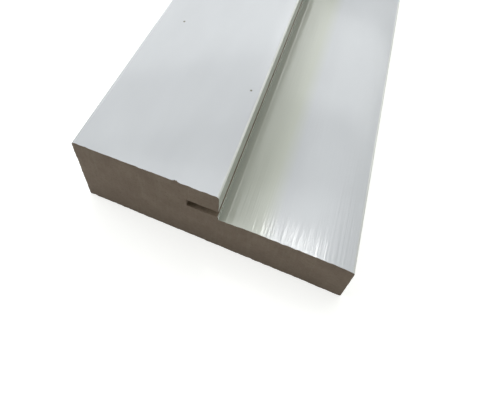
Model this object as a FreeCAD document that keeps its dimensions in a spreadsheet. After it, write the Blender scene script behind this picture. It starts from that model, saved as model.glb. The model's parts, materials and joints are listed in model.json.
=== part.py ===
import FreeCAD, Part
import os
import Sketcher

# Rebated door frame section with its stop in one piece: a length of extruded
# composite stock. X is across the section, Y along the stock, Z up from the
# flat back that it lies on. The origin is the middle of that back face.

NODE = "door_stop"

# Driving sizes, in millimetres.
SIZES = [
    ("stock_length", 914.4, "overall length, one 3 ft head piece"),
    ("section_width", 85.725, "overall width across the stock"),
    ("stop_thickness", 31.75, "back face to the top of the stop"),
    ("leaf_thickness", 19.05, "back face to the flat of the rebate"),
    ("stop_width", 47.3, "width of the raised stop"),
    ("kerf_gap", 3.5, "height of the weather seal slot"),
    ("kerf_depth", 9.9, "how far the slot runs into the stop"),
    ("kerf_rise", 0.8, "rebate flat to the lower side of the slot"),
    ("sink_reach", 12.7, "width of the shallow dip at the foot of the stop"),
    ("sink_depth", 0.95, "how low that dip is at the stop"),
    ("edge_reach", 9.7, "width of the roll-off along the outer edge"),
    ("edge_drop", 0.72, "how far the outer edge rolls off"),
    ("left_arris", 1.0, "radius of the stop's outer arris"),
    ("stop_arris", 0.8, "radius of the stop's arris over the rebate"),
    ("rebate_arris", 0.8, "radius of the rebate's outer arris"),
    ("back_arris", 0.5, "radius of the two arrises of the back"),
]
KERF_OVERRUN = 2.0       # the slot's outline runs this far out past the stop's side
PLACE_TOLERANCE = 1e-4   # how near an edge lies to the place it is looked for
VOLUME_TOLERANCE = 1e-6  # share of the stock's volume that the slot's may be off by

START, END = 1, 2        # a sketch line's or arc's two ends
ROOT = (-1, 1)           # a sketch's own origin


def make_sheet(doc):
    """The sheet of driving sizes: name, value and meaning in each row."""
    sheet = doc.addObject("Spreadsheet::Sheet", "Sizes")
    for row, (alias, value, meaning) in enumerate(SIZES, start=1):
        sheet.set("A%d" % row, alias)
        sheet.set("B%d" % row, str(value))
        sheet.set("C%d" % row, meaning)
        sheet.setAlias("B%d" % row, alias)
    doc.recompute()
    return sheet


def section_plane_sketch(body, name):
    """An empty sketch on the plane square to the stock: x across, y up."""
    sketch = body.newObject("Sketcher::SketchObject", name)
    plane = next(f for f in body.Origin.OriginFeatures if f.Role == "XZ_Plane")
    sketch.AttachmentSupport = [(plane, "")]
    sketch.MapMode = "FlatFace"
    return sketch


def constrain(sketch, kind, *where):
    """Add a constraint that has no size."""
    sketch.addConstraint(Sketcher.Constraint(kind, *where))


def dimension(sketch, name, expression, kind, *where):
    """Add a named dimension and bind it to the sheet."""
    sketch.renameConstraint(sketch.addConstraint(Sketcher.Constraint(kind, *where)), name)
    sketch.setExpression("Constraints.%s" % name, expression)


def roll_radius(reach, drop):
    """Radius of an arc that leaves a flat and falls by drop over reach."""
    return (reach * reach + drop * drop) / (2.0 * drop)


def arc_between(start, end, centre):
    """A circular arc of the sketch from start round to end, counterclockwise."""
    circle = Part.Circle(centre, FreeCAD.Vector(0, 0, 1), (start - centre).Length)
    across = FreeCAD.Vector(1, 0, 0)
    return Part.ArcOfCircle(circle, (start - centre).getAngle(across), (end - centre).getAngle(across))


def draw_section(body, sheet):
    """The outline of the stock: stop on the left, rebate on the right.

    The rebate is flat in its middle. It dips a little into the foot of the
    stop and rolls off towards its outer edge, each as an arc that leaves the
    flat tangentially.
    """
    sketch = section_plane_sketch(body, "Section")
    left, right = -sheet.section_width / 2, sheet.section_width / 2
    side = left + sheet.stop_width
    flat, top = sheet.leaf_thickness, sheet.stop_thickness
    sink_start, roll_start = side + sheet.sink_reach, right - sheet.edge_reach
    sink_radius = roll_radius(sheet.sink_reach, sheet.sink_depth)
    edge_radius = roll_radius(sheet.edge_reach, sheet.edge_drop)

    def point(x, z):
        return FreeCAD.Vector(x, z, 0)

    back_left, back_right = point(left, 0), point(right, 0)
    outer_edge = point(right, flat - sheet.edge_drop)
    roll_end, sink_end = point(roll_start, flat), point(sink_start, flat)
    foot = point(side, flat - sheet.sink_depth)
    stop_right, stop_left = point(side, top), point(left, top)
    roll_centre, sink_centre = point(roll_start, flat - edge_radius), point(sink_start, flat - sink_radius)

    back = sketch.addGeometry(Part.LineSegment(back_left, back_right))
    outer = sketch.addGeometry(Part.LineSegment(back_right, outer_edge))
    roll = sketch.addGeometry(arc_between(outer_edge, roll_end, roll_centre))
    rebate = sketch.addGeometry(Part.LineSegment(roll_end, sink_end))
    sink = sketch.addGeometry(arc_between(sink_end, foot, sink_centre))
    stop_side = sketch.addGeometry(Part.LineSegment(foot, stop_right))
    stop_top = sketch.addGeometry(Part.LineSegment(stop_right, stop_left))
    outside = sketch.addGeometry(Part.LineSegment(stop_left, back_left))

    for first, second in ((back, outer), (outer, roll), (sink, stop_side), (stop_side, stop_top),
                          (stop_top, outside), (outside, back)):
        constrain(sketch, "Coincident", first, END, second, START)
    for first, second in ((roll, rebate), (rebate, sink)):
        constrain(sketch, "Tangent", first, END, second, START)
    for line in (back, rebate, stop_top):
        constrain(sketch, "Horizontal", line)
    for line in (outer, stop_side, outside):
        constrain(sketch, "Vertical", line)
    constrain(sketch, "Symmetric", back, START, back, END, *ROOT)

    for name, cell, kind, where in (
            ("width", "section_width", "DistanceX", (back, START, back, END)),
            ("leaf", "leaf_thickness", "DistanceY", (*ROOT, rebate, START)),
            ("top", "stop_thickness", "DistanceY", (*ROOT, stop_top, START)),
            ("stop", "stop_width", "DistanceX", (outside, END, stop_side, START)),
            ("sink_reach", "sink_reach", "DistanceX", (stop_side, START, rebate, END)),
            ("sink_depth", "sink_depth", "DistanceY", (stop_side, START, rebate, END)),
            ("edge_reach", "edge_reach", "DistanceX", (rebate, START, outer, END)),
            ("edge_drop", "edge_drop", "DistanceY", (outer, END, rebate, START))):
        dimension(sketch, name, "Sizes.%s" % cell, kind, *where, getattr(sheet, cell))
    return sketch


def draw_kerf(body, sheet):
    """The slot's outline: a rectangle that runs out through the stop's side."""
    sketch = section_plane_sketch(body, "KerfSection")
    side = sheet.stop_width - sheet.section_width / 2
    inner, outer = side - sheet.kerf_depth, side + KERF_OVERRUN
    low = sheet.leaf_thickness + sheet.kerf_rise
    high = low + sheet.kerf_gap
    corners = [FreeCAD.Vector(x, z, 0) for x, z in ((inner, low), (outer, low), (outer, high), (inner, high))]
    lines = [sketch.addGeometry(Part.LineSegment(corner, following))
             for corner, following in zip(corners, corners[1:] + corners[:1])]
    floor, mouth, ceiling, end_wall = lines

    for first, second in zip(lines, lines[1:] + lines[:1]):
        constrain(sketch, "Coincident", first, END, second, START)
    for line in (floor, ceiling):
        constrain(sketch, "Horizontal", line)
    for line in (mouth, end_wall):
        constrain(sketch, "Vertical", line)

    dimension(sketch, "low", "Sizes.leaf_thickness + Sizes.kerf_rise",
              "DistanceY", *ROOT, floor, START, low)
    dimension(sketch, "gap", "Sizes.kerf_gap",
              "DistanceY", mouth, START, mouth, END, sheet.kerf_gap)
    dimension(sketch, "run", "Sizes.kerf_depth + %g" % KERF_OVERRUN,
              "DistanceX", floor, START, floor, END, outer - inner)
    dimension(sketch, "mouth", "Sizes.stop_width - Sizes.section_width / 2 + %g" % KERF_OVERRUN,
              "DistanceX", *ROOT, floor, END, outer)
    return sketch


def edge_at(shape, x, z):
    """Name of the edge that runs along the stock at this place of the section."""
    for number, edge in enumerate(shape.Edges, start=1):
        ends = [vertex.Point for vertex in edge.Vertexes]
        if len(ends) == 2 and all(abs(p.x - x) < PLACE_TOLERANCE and abs(p.z - z) < PLACE_TOLERANCE
                                  for p in ends):
            return "Edge%d" % number
    raise ValueError("no edge along the stock at x %.3f, z %.3f" % (x, z))


def round_edges(body, name, places, radius_alias):
    """Round the edges along the stock at these places, by a radius of the sheet."""
    base = body.Tip
    fillet = body.newObject("PartDesign::Fillet", name)
    fillet.Base = (base, [edge_at(base.Shape, x, z) for x, z in places])
    fillet.setExpression("Radius", "Sizes.%s" % radius_alias)
    body.Document.recompute()


def make_door_stop(doc, sheet):
    """The stock: its section padded both ways along Y, slotted and eased."""
    body = doc.addObject("PartDesign::Body", "DoorStop")
    body.Label = NODE

    stock = body.newObject("PartDesign::Pad", "Stock")
    stock.Profile = draw_section(body, sheet)
    stock.Midplane = True
    stock.setExpression("Length", "Sizes.stock_length")
    doc.recompute()
    uncut = stock.Shape.Volume

    kerf = body.newObject("PartDesign::Pocket", "Kerf")
    kerf.Profile = draw_kerf(body, sheet)
    kerf.Midplane = True
    kerf.setExpression("Length", "Sizes.stock_length")
    doc.recompute()
    removed = uncut - kerf.Shape.Volume
    expected = sheet.kerf_gap * sheet.kerf_depth * sheet.stock_length
    if abs(removed - expected) > VOLUME_TOLERANCE * uncut:
        raise ValueError("the kerf removed %.1f mm3, not %.1f" % (removed, expected))

    left, right = -sheet.section_width / 2, sheet.section_width / 2
    side = left + sheet.stop_width
    outer_edge = sheet.leaf_thickness - sheet.edge_drop
    round_edges(body, "LeftArris", [(left, sheet.stop_thickness)], "left_arris")
    round_edges(body, "StopArris", [(side, sheet.stop_thickness)], "stop_arris")
    round_edges(body, "RebateArris", [(right, outer_edge)], "rebate_arris")
    round_edges(body, "BackArrises", [(left, 0), (right, 0)], "back_arris")
    return body


def check(doc, body):
    """Stop before anything is written if a feature failed or the solid is bad."""
    for item in doc.Objects:
        if any(word in state for state in item.State for word in ("Invalid", "Error")):
            raise ValueError("%s failed: %s" % (item.Name, item.State))
    shape = body.Shape
    if shape.isNull() or not shape.isValid() or len(shape.Solids) != 1:
        raise ValueError("%s is not one valid solid" % body.Label)


doc = FreeCAD.newDocument("DoorStop")
sheet = make_sheet(doc)
door_stop = make_door_stop(doc, sheet)
check(doc, door_stop)

os.makedirs("parts", exist_ok=True)
door_stop.Shape.exportStep(os.path.join("parts", door_stop.Label + ".step"))
box = door_stop.Shape.BoundBox
print("%s: x %.3f..%.3f, y %.3f..%.3f, z %.3f..%.3f mm, %.1f cm3" % (
    door_stop.Label, box.XMin, box.XMax, box.YMin, box.YMax, box.ZMin, box.ZMax,
    door_stop.Shape.Volume / 1000))
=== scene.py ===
import json
import math

import bpy
from mathutils import Matrix, Vector


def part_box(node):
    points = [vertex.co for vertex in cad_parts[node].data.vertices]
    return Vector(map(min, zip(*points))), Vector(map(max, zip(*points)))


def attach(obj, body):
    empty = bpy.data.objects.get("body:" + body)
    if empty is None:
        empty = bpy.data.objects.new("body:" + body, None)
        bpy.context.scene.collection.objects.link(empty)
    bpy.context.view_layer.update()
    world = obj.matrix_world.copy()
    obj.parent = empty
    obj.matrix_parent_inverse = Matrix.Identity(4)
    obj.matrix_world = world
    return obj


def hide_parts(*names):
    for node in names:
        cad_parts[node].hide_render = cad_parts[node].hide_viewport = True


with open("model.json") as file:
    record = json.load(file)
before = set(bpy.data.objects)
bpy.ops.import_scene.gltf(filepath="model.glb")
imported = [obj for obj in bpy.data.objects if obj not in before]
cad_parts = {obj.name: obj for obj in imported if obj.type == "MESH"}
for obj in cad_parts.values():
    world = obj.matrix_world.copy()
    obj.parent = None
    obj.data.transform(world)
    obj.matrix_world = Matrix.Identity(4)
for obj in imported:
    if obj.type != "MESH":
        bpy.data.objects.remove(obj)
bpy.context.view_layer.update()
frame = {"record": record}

# A length of white-capped composite door stop: one extruded piece with a raised
# stop, a lower rebate and a seal slot, sawn off square at both ends. It lies on
# its back along Y, and the near sawn end faces -Y.

LOW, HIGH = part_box("door_stop")
MOUNTS = {mount["name"]: Vector(mount["pos_m"]) for mount in frame["record"]["mounts"]}
MM = 0.001

# The section, in metres. Its places come from the frame, its small sizes are the maker's.
LEFT, RIGHT, TOP = LOW.x, HIGH.x, HIGH.z
STOP_SIDE = MOUNTS["seal_slot"].x
REBATE_FLAT = MOUNTS["rebate_face"].z
KERF_MIDDLE = MOUNTS["seal_slot"].z
KERF_GAP = 3.5 * MM
KERF_DEPTH = 9.9 * MM
SINK_REACH, SINK_DEPTH = 12.7 * MM, 0.95 * MM
EDGE_REACH, EDGE_DROP = 9.7 * MM, 0.72 * MM
LEFT_ARRIS, STOP_ARRIS, REBATE_ARRIS, BACK_ARRIS = 1.0 * MM, 0.8 * MM, 0.8 * MM, 0.5 * MM
SLOT_LIP = 0.25 * MM     # rounding of the slot's two lips
SLOT_SKIN = 0.10 * MM     # how far the white cap turns into the slot
ARRIS_STEPS = 6
SAWN_PITCH = 0.5 * MM    # spacing of the sawn face's mesh
SAWN_ROUGHNESS = 0.16 * MM
RIM_ROUGHNESS = 0.30 * MM
SAWN_GRAIN = 1.6 * MM    # size of the saw's nibbles along the rim
SAWN_EDGE = 1.0 * MM     # the nibbles stay within this distance of the end
CREASE = STOP_SIDE + 2.05 * MM                 # a fine raised line left in the cap by the die
CREASE_PROFILE = ((-0.10 * MM, 0.0), (0.0, 0.072 * MM), (0.12 * MM, 0.048 * MM),
                  (0.24 * MM, 0.024 * MM), (0.36 * MM, 0.0))
CHIP_PLACE, CHIP_REACH = LEFT + 34.3 * MM, 0.8 * MM
CHIP_MOVE = (0, 0.20 * MM, -0.12 * MM)
NEAR = 1e-6              # two places this close are the same
FACES_ALONG = 0.7        # a face whose normal points this much along the stock is sawn

KERF_LOW, KERF_HIGH = KERF_MIDDLE - KERF_GAP / 2, KERF_MIDDLE + KERF_GAP / 2
KERF_END = STOP_SIDE - KERF_DEPTH
FRONT, BACK = LOW.y, HIGH.y
ACROSS, UP = Vector((1, 0, 0)), Vector((0, 0, 1))


# ---------------------------------------------------------------- modelling

def deselect():
    bpy.ops.object.select_all(action="DESELECT")


def pick(piece, kind, test):
    """In edit mode, select only the vertices, edges or faces whose place passes the test."""
    bpy.ops.object.mode_set(mode="OBJECT")
    mesh = piece.data
    for parts in (mesh.vertices, mesh.edges, mesh.polygons):
        parts.foreach_set("select", [False] * len(parts))
    if kind == "VERT":
        for vertex in mesh.vertices:
            vertex.select = test(vertex.co)
    if kind == "FACE":
        for face in mesh.polygons:
            face.select = test(face.center)
    bpy.context.tool_settings.mesh_select_mode = (kind == "VERT", False, kind == "FACE")
    bpy.ops.object.mode_set(mode="EDIT")


def bisect_all(place, normal):
    """Cut the whole mesh along a plane."""
    bpy.ops.mesh.select_all(action="SELECT")
    bpy.ops.mesh.bisect(plane_co=place, plane_no=normal, use_fill=False)


def same(a, b):
    return abs(a - b) < NEAR


def roll_off(distance, reach, depth):
    """How far an arc that leaves a flat tangentially has fallen at this distance from the flat."""
    radius = (reach * reach + depth * depth) / (2 * depth)
    return radius - math.sqrt(radius * radius - distance * distance)


def crease_rise(x):
    """How far the fine raised line stands over the rebate at this place."""
    offset = x - CREASE
    for (start, low), (end, high) in zip(CREASE_PROFILE, CREASE_PROFILE[1:]):
        if start <= offset <= end:
            return low + (high - low) * (offset - start) / (end - start)
    return 0.0


def rebate_fall(x):
    """How far the rebate lies below its flat: a dip at the stop, a roll-off at the outer edge."""
    into_sink = STOP_SIDE + SINK_REACH - x
    past_flat = x - (RIGHT - EDGE_REACH)
    if into_sink > 0:
        return roll_off(into_sink, SINK_REACH, SINK_DEPTH) - crease_rise(x)
    if past_flat > 0:
        return roll_off(past_flat, EDGE_REACH, EDGE_DROP)
    return 0.0


def steps_between(low, high, pitch):
    """Evenly spaced places between two bounds, at about this pitch, without the bounds."""
    count = max(1, round((high - low) / pitch))
    return [low + (high - low) * i / count for i in range(1, count)]


def cut_outline(piece):
    """Cut the blank to the section: the rebate and the slot out, the corners rounded."""
    for x in (KERF_END, STOP_SIDE):
        bisect_all((x, 0, 0), ACROSS)
    for z in (REBATE_FLAT, KERF_LOW, KERF_HIGH):
        bisect_all((0, 0, z), UP)

    def waste(place):
        over_rebate = place.x > STOP_SIDE and place.z > REBATE_FLAT
        in_slot = KERF_END < place.x < STOP_SIDE and KERF_LOW < place.z < KERF_HIGH
        return over_rebate or in_slot

    pick(piece, "FACE", waste)
    bpy.ops.mesh.delete(type="FACE")
    corners = (((LEFT, TOP), LEFT_ARRIS), ((STOP_SIDE, TOP), STOP_ARRIS),
               ((RIGHT, REBATE_FLAT), REBATE_ARRIS), ((LEFT, 0), BACK_ARRIS), ((RIGHT, 0), BACK_ARRIS),
               ((STOP_SIDE, KERF_LOW), SLOT_LIP), ((STOP_SIDE, KERF_HIGH), SLOT_LIP))
    for (x, z), radius in corners:
        pick(piece, "VERT", lambda place: same(place.x, x) and same(place.z, z))
        bpy.ops.mesh.bevel(offset=radius, segments=ARRIS_STEPS, affect="VERTICES")


def lay_sawn_mesh(piece):
    """Divide the section finely, so that the sawn face can be rough, and shape the rebate."""
    columns = []
    for low, high in ((LEFT, KERF_END), (KERF_END, STOP_SIDE), (STOP_SIDE, RIGHT)):
        columns += steps_between(low, high, SAWN_PITCH)
    columns += [CREASE + offset for offset, rise in CREASE_PROFILE]
    rows = []
    for low, high in ((0, REBATE_FLAT), (KERF_LOW, KERF_HIGH), (KERF_HIGH, TOP)):
        rows += steps_between(low, high, SAWN_PITCH)
    for x in columns:
        bisect_all((x, 0, 0), ACROSS)
    for z in rows:
        bisect_all((0, 0, z), UP)

    bpy.ops.object.mode_set(mode="OBJECT")
    places = sorted({round(vertex.co.x / NEAR) * NEAR for vertex in piece.data.vertices
                     if vertex.co.x > STOP_SIDE - NEAR})
    for x in places:
        fall = rebate_fall(min(x, RIGHT))
        if fall <= 0:
            continue
        pick(piece, "VERT", lambda place: same(place.x, x) and place.z < REBATE_FLAT + NEAR)
        squeeze = (REBATE_FLAT - fall) / REBATE_FLAT
        bpy.ops.transform.resize(value=(1, 1, squeeze), center_override=(0, 0, 0))


def make_stock():
    """The blank's sawn face, cut to its outline and drawn out along the stock."""
    deselect()
    bpy.ops.mesh.primitive_plane_add(size=1, rotation=(math.pi / 2, 0, 0),
                                     location=((LEFT + RIGHT) / 2, FRONT, TOP / 2))
    piece = bpy.context.active_object
    piece.name = "capped_door_stop"
    piece.scale = (RIGHT - LEFT, TOP, 1)
    bpy.ops.object.transform_apply(location=True, rotation=True, scale=True)
    bpy.ops.object.mode_set(mode="EDIT")
    cut_outline(piece)
    lay_sawn_mesh(piece)
    bpy.ops.mesh.select_all(action="SELECT")
    bpy.ops.mesh.extrude_region_move(TRANSFORM_OT_translate={"value": (0, BACK - FRONT, 0)})
    bpy.ops.mesh.select_all(action="SELECT")
    bpy.ops.mesh.remove_doubles(threshold=NEAR / 10)
    bpy.ops.mesh.normals_make_consistent(inside=False)
    for y in (FRONT + 0.5 * SAWN_EDGE, FRONT + SAWN_EDGE, BACK - SAWN_EDGE, BACK - 0.5 * SAWN_EDGE):
        bisect_all((0, y, 0), Vector((0, 1, 0)))
    bpy.ops.object.mode_set(mode="OBJECT")
    return piece


def on_rim(place):
    """Whether a place on a sawn end lies on the section's outline."""
    top = TOP if place.x < STOP_SIDE + NEAR else REBATE_FLAT - rebate_fall(place.x)
    return (place.x < LEFT + SAWN_PITCH or place.x > RIGHT - SAWN_PITCH or place.z < SAWN_PITCH
            or place.z > top - SAWN_PITCH or same(place.x, STOP_SIDE))


def roughen_end(piece, end, inward):
    """Nibble one sawn end inwards: gently over the core, more along its rim."""
    name = "front_end" if inward > 0 else "back_end"
    group = piece.vertex_groups.new(name=name)
    for vertex in piece.data.vertices:
        if same(vertex.co.y, end):
            weight = 1.0 if on_rim(vertex.co) else SAWN_ROUGHNESS / RIM_ROUGHNESS
            group.add([vertex.index], weight, "REPLACE")
    grain = bpy.data.textures.new(name, "CLOUDS")
    grain.noise_scale = SAWN_GRAIN
    grain.noise_depth = 1
    roughness = piece.modifiers.new(name, "DISPLACE")
    roughness.texture = grain
    roughness.texture_coords = "LOCAL"
    roughness.direction = "Y"
    roughness.mid_level = 0.0
    roughness.strength = RIM_ROUGHNESS * inward
    roughness.vertex_group = name
    bpy.ops.object.modifier_apply(modifier=name)


def chip_rim(piece):
    """Break a small chip out of the near end's top edge."""
    def chipped(place):
        return place.y < FRONT + RIM_ROUGHNESS and TOP - place.z < CHIP_REACH / 2 \
            and abs(place.x - CHIP_PLACE) < CHIP_REACH
    pick(piece, "VERT", chipped)
    bpy.ops.transform.translate(value=CHIP_MOVE)
    bpy.ops.object.mode_set(mode="OBJECT")


stock = make_stock()
roughen_end(stock, FRONT, 1)
roughen_end(stock, BACK, -1)
chip_rim(stock)


# ---------------------------------------------------------------- finishes

def new_material(name):
    material = bpy.data.materials.new(name)
    material.use_nodes = True
    return material, material.node_tree.nodes, material.node_tree.links


def rgb(red, green, blue):
    """A colour given as display values from 0 to 255, made linear."""
    def linear(value):
        value /= 255
        return value / 12.92 if value <= 0.04045 else ((value + 0.055) / 1.055) ** 2.4
    return (linear(red), linear(green), linear(blue), 1)


CAP_DARKER, CAP_LIGHTER = rgb(209, 211, 219), rgb(214, 216, 224)
# Painted shade: a greener tint for the shaded side of the stop and the dip, and a darker tint for the
# corner at the stop's foot.
CAP_SHADE_TINT, CAP_CORNER_SHADE = rgb(209, 212, 206), rgb(186, 190, 184)
# Painted highlight for the stop's and rebate's arrises, and painted shade for the left arris near the
# sawn end.
CAP_EDGE_HIGHLIGHT, CAP_EDGE_SHADE = rgb(240, 242, 244), rgb(160, 162, 165)
SPECK = rgb(120, 116, 104)
COMPOSITE_DARKER, COMPOSITE_LIGHTER = rgb(137, 120, 108), rgb(151, 134, 121)
COMPOSITE_GRIT, COMPOSITE_MARK = rgb(108, 96, 82), rgb(170, 159, 142)
# Painted shade: darker towards the bottom of the sawn end.
COMPOSITE_SHADED_LOW = rgb(116, 101, 90)


def set_inputs(node, **values):
    """Set a node's inputs by name, underscores standing for spaces."""
    for name, value in values.items():
        node.inputs[name.replace("_", " ")].default_value = value


def own_place(nodes, links, scale=(1, 1, 1), turn=(0, 0, 0)):
    """The surface's own place, in metres times scale, turned by these degrees."""
    coordinates = nodes.new("ShaderNodeTexCoord")
    mapping = nodes.new("ShaderNodeMapping")
    set_inputs(mapping, Scale=scale, Rotation=[math.radians(angle) for angle in turn])
    links.new(coordinates.outputs["Object"], mapping.inputs["Vector"])
    return mapping.outputs["Vector"]


def noise(nodes, links, vector, detail=2.0, roughness=0.5):
    """Noise of about one cell per unit of the vector, from 0 to 1."""
    texture = nodes.new("ShaderNodeTexNoise")
    set_inputs(texture, Scale=1.0, Detail=detail, Roughness=roughness)
    links.new(vector, texture.inputs["Vector"])
    return texture.outputs["Fac"]


def remap(nodes, links, value, low, high, to_low=0.0, to_high=1.0):
    """Stretch a value from one range to another, clamped."""
    node = nodes.new("ShaderNodeMapRange")
    set_inputs(node, From_Min=low, From_Max=high, To_Min=to_low, To_Max=to_high)
    links.new(value, node.inputs["Value"])
    return node.outputs["Result"]


def combine(nodes, links, operation, first, second):
    """One arithmetic step on two sockets."""
    node = nodes.new("ShaderNodeMath")
    node.operation = operation
    links.new(first, node.inputs[0])
    links.new(second, node.inputs[1])
    return node.outputs["Value"]


def split_place(nodes, links):
    """The surface's own place, as three sockets: across, along and up."""
    split = nodes.new("ShaderNodeSeparateXYZ")
    links.new(own_place(nodes, links), split.inputs["Vector"])
    return split.outputs["X"], split.outputs["Y"], split.outputs["Z"]


def blend_colours(nodes, links, factor, first, second):
    """Mix two colours, each a fixed colour or a socket, by a factor socket."""
    node = nodes.new("ShaderNodeMix")
    node.data_type = "RGBA"
    links.new(factor, node.inputs["Factor"])
    for name, colour in (("A", first), ("B", second)):
        if isinstance(colour, bpy.types.NodeSocket):
            links.new(colour, node.inputs[name])
        else:
            node.inputs[name].default_value = colour
    return node.outputs["Result"]


def add_relief(nodes, links, height, depth, under=None, where=None):
    """Bump of this depth in metres, laid over the relief under it, full where the mask is 1."""
    node = nodes.new("ShaderNodeBump")
    set_inputs(node, Distance=depth, Strength=1.0)
    if where is not None:
        links.new(where, node.inputs["Strength"])
    links.new(height, node.inputs["Height"])
    if under is not None:
        links.new(under, node.inputs["Normal"])
    return node.outputs["Normal"]


def on_rebate(nodes, links, elsewhere):
    """1 over most of the rebate, this much elsewhere."""
    across, along, up = split_place(nodes, links)
    return remap(nodes, links, across, STOP_SIDE + 2.6 * MM, STOP_SIDE + 6.0 * MM, elsewhere, 1.0)


SPECKS = (((LEFT + 10.1 * MM, FRONT + 62.6 * MM, TOP), 0.45 * MM),
          ((LEFT + 43.9 * MM, FRONT + 39.2 * MM, TOP), 0.40 * MM))


def speck_mask(nodes, links):
    """1 inside the small dark specks on top of the stop, 0 elsewhere."""
    place = own_place(nodes, links)
    masks = []
    for centre, radius in SPECKS:
        distance = nodes.new("ShaderNodeVectorMath")
        distance.operation = "DISTANCE"
        distance.inputs[1].default_value = centre
        links.new(place, distance.inputs[0])
        masks.append(remap(nodes, links, distance.outputs["Value"], radius * 0.6, radius * 1.2,
                           1.0, 0.0))
    return combine(nodes, links, "MAXIMUM", *masks)


def painted_edge_highlight(nodes, links):
    """1 on the stop's arris and on the rebate's outer arris: painted highlight, a lighter colour there,
    also used to raise the specular level.
    """
    across, along, up = split_place(nodes, links)
    outer = remap(nodes, links, across, RIGHT - REBATE_ARRIS, RIGHT - 0.3 * REBATE_ARRIS)
    beside = remap(nodes, links, across, STOP_SIDE - STOP_ARRIS, STOP_SIDE - 0.5 * STOP_ARRIS)
    above = remap(nodes, links, up, TOP - STOP_ARRIS, TOP - 0.6 * STOP_ARRIS)
    inner = combine(nodes, links, "MULTIPLY", beside, above)
    return combine(nodes, links, "MAXIMUM", outer, inner)


def painted_edge_shade(nodes, links):
    """1 on the first stretch of the stop's left arris: painted shade that greys it."""
    across, along, up = split_place(nodes, links)
    beside = remap(nodes, links, across, LEFT + 0.3 * LEFT_ARRIS, LEFT + 0.9 * LEFT_ARRIS, 1.0, 0.0)
    above = remap(nodes, links, up, TOP - 1.2 * LEFT_ARRIS, TOP - 0.8 * LEFT_ARRIS)
    near = remap(nodes, links, along, FRONT + 25 * MM, FRONT + 70 * MM, 1.0, 0.0)
    return combine(nodes, links, "MULTIPLY", combine(nodes, links, "MULTIPLY", beside, above), near)


def painted_shade_tint(nodes, links):
    """1 on the stop's side and over the dip beside it: painted shade, the greener tint that shade takes
    there.
    """
    across, along, up = split_place(nodes, links)
    start = remap(nodes, links, across, STOP_SIDE - 0.5 * MM, STOP_SIDE - 0.1 * MM)
    end = remap(nodes, links, across, STOP_SIDE + 12 * MM, STOP_SIDE + 16.5 * MM, 1.0, 0.0)
    return combine(nodes, links, "MULTIPLY", start, end)


def painted_corner_shade(nodes, links):
    """1 in the corner where the rebate meets the stop, fading out over the dip: painted shade that
    darkens the corner.
    """
    across, along, up = split_place(nodes, links)
    beside = remap(nodes, links, across, STOP_SIDE + 0.2 * MM, STOP_SIDE + 2.6 * MM, 1.0, 0.0)
    start = remap(nodes, links, across, STOP_SIDE - 0.1 * MM, STOP_SIDE)
    below = remap(nodes, links, up, KERF_LOW, KERF_HIGH, 1.0, 0.0)
    return combine(nodes, links, "MULTIPLY", combine(nodes, links, "MULTIPLY", beside, start), below)


def make_white_cap():
    """Glossy white cap: faint cloudiness, drawn streaks along the stock, two specks."""
    material, nodes, links = new_material("white_cap")
    shader = nodes["Principled BSDF"]
    clouds = noise(nodes, links, own_place(nodes, links, (60, 25, 60)), detail=3.0)
    fine = noise(nodes, links, own_place(nodes, links, (1900, 34, 1900)), detail=1.0)
    coarse = noise(nodes, links, own_place(nodes, links, (320, 7, 320)), detail=1.0)
    dents = noise(nodes, links, own_place(nodes, links, (110, 70, 110)), detail=1.0)
    white = blend_colours(nodes, links, remap(nodes, links, clouds, 0.35, 0.65),
                          CAP_DARKER, CAP_LIGHTER)
    # Painted shade: greener tint on the stop's side and the dip beside it.
    white = blend_colours(nodes, links, painted_shade_tint(nodes, links), white, CAP_SHADE_TINT)
    # Painted shade: darker colour in the corner at the stop's foot.
    white = blend_colours(nodes, links, painted_corner_shade(nodes, links), white, CAP_CORNER_SHADE)
    # Painted highlight: lighter colour and higher specular level on the two arrises.
    edges = painted_edge_highlight(nodes, links)
    white = blend_colours(nodes, links, edges, white, CAP_EDGE_HIGHLIGHT)
    # Painted shade: grey on the left arris near the sawn end.
    white = blend_colours(nodes, links, painted_edge_shade(nodes, links), white, CAP_EDGE_SHADE)
    links.new(remap(nodes, links, edges, 0.0, 1.0, 0.5, 1.0), shader.inputs["Specular IOR Level"])
    colour = blend_colours(nodes, links, speck_mask(nodes, links), white, SPECK)
    links.new(colour, shader.inputs["Base Color"])
    links.new(remap(nodes, links, coarse, 0.3, 0.7, 0.08, 0.13), shader.inputs["Roughness"])
    relief = add_relief(nodes, links, dents, 0.02 * MM)
    relief = add_relief(nodes, links, coarse, 0.010 * MM, relief)
    relief = add_relief(nodes, links, fine, 0.062 * MM, relief, on_rebate(nodes, links, 0.07))
    links.new(relief, shader.inputs["Normal"])
    return material


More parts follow.
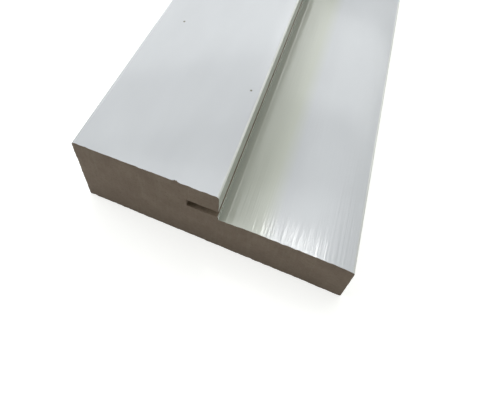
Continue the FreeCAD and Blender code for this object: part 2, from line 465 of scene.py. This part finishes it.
def make_sawn_composite():
    """Matt brown wood and plastic composite, mottled, with faint slanting saw marks."""
    material, nodes, links = new_material("sawn_composite")
    shader = nodes["Principled BSDF"]
    patches = noise(nodes, links, own_place(nodes, links, (140, 140, 140)), detail=4.0, roughness=0.6)
    grit = noise(nodes, links, own_place(nodes, links, (1500, 1500, 1500)), detail=3.0, roughness=0.7)
    marks = noise(nodes, links, own_place(nodes, links, (1100, 60, 90), (0, 28, 0)), detail=2.0)
    brown = blend_colours(nodes, links, remap(nodes, links, patches, 0.35, 0.65),
                          COMPOSITE_DARKER, COMPOSITE_LIGHTER)
    brown = blend_colours(nodes, links, remap(nodes, links, grit, 0.30, 0.48, 0.45, 0.0),
                          brown, COMPOSITE_GRIT)
    brown = blend_colours(nodes, links, remap(nodes, links, marks, 0.52, 0.75, 0.0, 0.2),
                          brown, COMPOSITE_MARK)
    across, along, up = split_place(nodes, links)
    # Painted shade: the sawn end darkens towards the bottom.
    brown = blend_colours(nodes, links, remap(nodes, links, up, 1 * MM, 14 * MM, 0.45, 0.0),
                          brown, COMPOSITE_SHADED_LOW)
    links.new(brown, shader.inputs["Base Color"])
    shader.inputs["Roughness"].default_value = 0.85
    relief = add_relief(nodes, links, grit, 0.12 * MM)
    relief = add_relief(nodes, links, marks, 0.06 * MM, relief)
    links.new(relief, shader.inputs["Normal"])
    return material


white_cap = make_white_cap()
sawn_composite = make_sawn_composite()
stock.data.materials.append(white_cap)
stock.data.materials.append(sawn_composite)
for face in stock.data.polygons:
    place, along = face.center, abs(face.normal.y)
    in_slot = (KERF_END - NEAR < place.x < STOP_SIDE - SLOT_SKIN
               and KERF_LOW - NEAR < place.z < KERF_HIGH + NEAR)
    face.material_index = 1 if along > FACES_ALONG or in_slot else 0

deselect()
stock.select_set(True)
bpy.context.view_layer.objects.active = stock
bpy.ops.object.shade_smooth_by_angle(angle=math.radians(30))

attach(stock, "root")
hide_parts("door_stop")


# ---------------------------------------------------------------- studio

def seen_background(nodes, links):
    """1 for rays that show the plain background, straight, mirrored or through glass, 0 for the rest."""
    path = nodes.new("ShaderNodeLightPath")
    total = path.outputs["Is Camera Ray"]
    for name in ("Is Glossy Ray", "Is Transmission Ray"):
        total = combine(nodes, links, "MAXIMUM", total, path.outputs[name])
    return total


def make_floor():
    """A plain floor, shown pale near the stock and white far from it."""
    deselect()
    bpy.ops.mesh.primitive_plane_add(size=12, location=(0, 0, 0))
    floor = bpy.context.active_object
    floor.name = "studio_floor"
    material, nodes, links = new_material("studio_floor")
    shader = nodes["Principled BSDF"]
    shader.inputs["Base Color"].default_value = (0.62, 0.62, 0.62, 1)
    shader.inputs["Roughness"].default_value = 0.9
    distance = nodes.new("ShaderNodeVectorMath")
    distance.operation = "LENGTH"
    links.new(own_place(nodes, links), distance.inputs[0])
    paleness = remap(nodes, links, distance.outputs["Value"], 1.2, 3.0, 0.68, 1.0)
    shown = combine(nodes, links, "MULTIPLY", seen_background(nodes, links), paleness)
    links.new(shown, shader.inputs["Emission Strength"])
    shader.inputs["Emission Color"].default_value = (1, 1, 1, 1)
    floor.data.materials.append(material)


def make_world():
    world = bpy.data.worlds.new("studio")
    bpy.context.scene.world = world
    world.use_nodes = True
    nodes, links = world.node_tree.nodes, world.node_tree.links
    background = nodes["Background"]
    shown = seen_background(nodes, links)
    strength = nodes.new("ShaderNodeMix")
    links.new(shown, strength.inputs["Factor"])
    strength.inputs["A"].default_value = 0.13
    strength.inputs["B"].default_value = 1.0
    links.new(strength.outputs["Result"], background.inputs["Strength"])
    tint = nodes.new("ShaderNodeMix")
    tint.data_type = "RGBA"
    links.new(shown, tint.inputs["Factor"])
    tint.inputs["A"].default_value = (0.96, 1.0, 0.64, 1)
    tint.inputs["B"].default_value = (1, 1, 1, 1)
    links.new(tint.outputs["Result"], background.inputs["Color"])


def make_lamp(name, place, aim, size, power, colour):
    light = bpy.data.lights.new(name, "AREA")
    light.shape = "RECTANGLE"
    light.size, light.size_y = size
    light.energy = power
    light.color = colour
    lamp = bpy.data.objects.new(name, light)
    bpy.context.scene.collection.objects.link(lamp)
    lamp.location = place
    lamp.rotation_euler = (Vector(aim) - Vector(place)).to_track_quat("-Z", "Y").to_euler()


def make_camera():
    data = bpy.data.cameras.new("camera")
    data.sensor_width = 36.0
    data.lens = 32.13
    data.shift_x, data.shift_y = 0.136, -0.276
    camera = bpy.data.objects.new("camera", data)
    bpy.context.scene.collection.objects.link(camera)
    heading, down, roll = math.radians(26.09), math.radians(46.20), math.radians(-3.39)
    camera.matrix_world = (Matrix.Translation((LEFT + 64.99 * MM, FRONT - 53.59 * MM, 143.60 * MM))
                           @ Matrix.Rotation(heading, 4, "Z")
                           @ Matrix.Rotation(math.pi / 2 - down, 4, "X")
                           @ Matrix.Rotation(roll, 4, "Z"))
    data.clip_start = 0.005
    bpy.context.scene.camera = camera


make_floor()
make_world()
near_end = Vector(((LEFT + RIGHT) / 2, FRONT, 0))


def from_near_end(heading, height, distance):
    """A place seen from the near end: heading in degrees clockwise from +Y, height above level."""
    heading, height = math.radians(heading), math.radians(height)
    level = distance * math.cos(height)
    return near_end + Vector((level * math.sin(heading), level * math.cos(heading),
                              distance * math.sin(height)))


def lamp_power(brightness, size):
    """Watts of a flat lamp that looks this bright, where 1 is a white surface in the studio's light."""
    return brightness * math.pi * size[0] * size[1]


for name, heading, height, distance, size, brightness, colour in (
        ("overhead", -10, 80, 1.7, (1.2, 1.2), 1.62, (0.97, 0.99, 1.0)),
        ("left_window", -92, 44, 1.8, (1.2, 0.9), 3.3, (0.95, 0.98, 1.0)),
        ("far_left_window", -32, 31, 2.0, (1.7, 1.1), 1.2, (0.97, 0.99, 1.0)),
        ("far_left_blind", -36, 40, 2.05, (1.6, 1.1), 0.9, (0.97, 0.99, 1.0)),
        ("right_window", 41, 22, 0.75, (0.44, 0.22), 2.8, (0.98, 1.0, 0.92)),
        ("far_window", 7, 43, 2.0, (0.85, 0.42), 1.7, (0.98, 1.0, 1.0)),
        ("ceiling_lamp", 6.5, 67.6, 1.5, (0.14, 0.15), 14.0, (1.0, 1.0, 0.96))):
    make_lamp(name, from_near_end(heading, height, distance), near_end, size,
              lamp_power(brightness, size), colour)
make_camera()
bpy.context.scene.view_settings.view_transform = "Standard"
